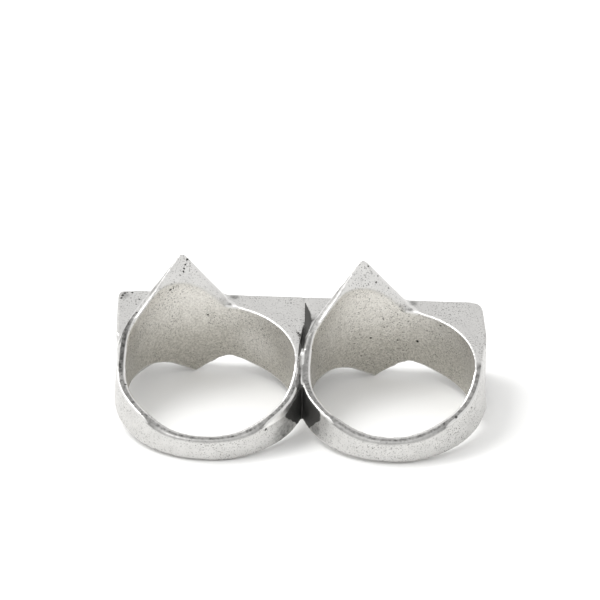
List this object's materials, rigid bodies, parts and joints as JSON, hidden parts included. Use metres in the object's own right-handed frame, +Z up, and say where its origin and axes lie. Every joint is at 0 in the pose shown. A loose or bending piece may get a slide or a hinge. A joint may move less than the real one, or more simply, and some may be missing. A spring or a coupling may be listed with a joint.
{
  "type": "knuckle ring",
  "caption": "Cast knuckle ring for neighbouring fingers, with open finger holes, a straight flat-topped bar behind them and a point above and below each band.",
  "frame": {"origin": "centre of the bounding box's base, on the surface that the ring lies on", "axes": "+X along the bar, from the larger finger hole to the smaller one; +Y from the fronts of the bands to the display face; +Z up"},
  "size_m": [0.0398, 0.0212, 0.0151],
  "materials": {
    "silver": "antiqued cast silver: worn bright on edges and flats, dark patina in pits and recesses"
  },
  "bodies": {
    "root": {"cast_ring": "silver"}
  },
  "joints": []
}
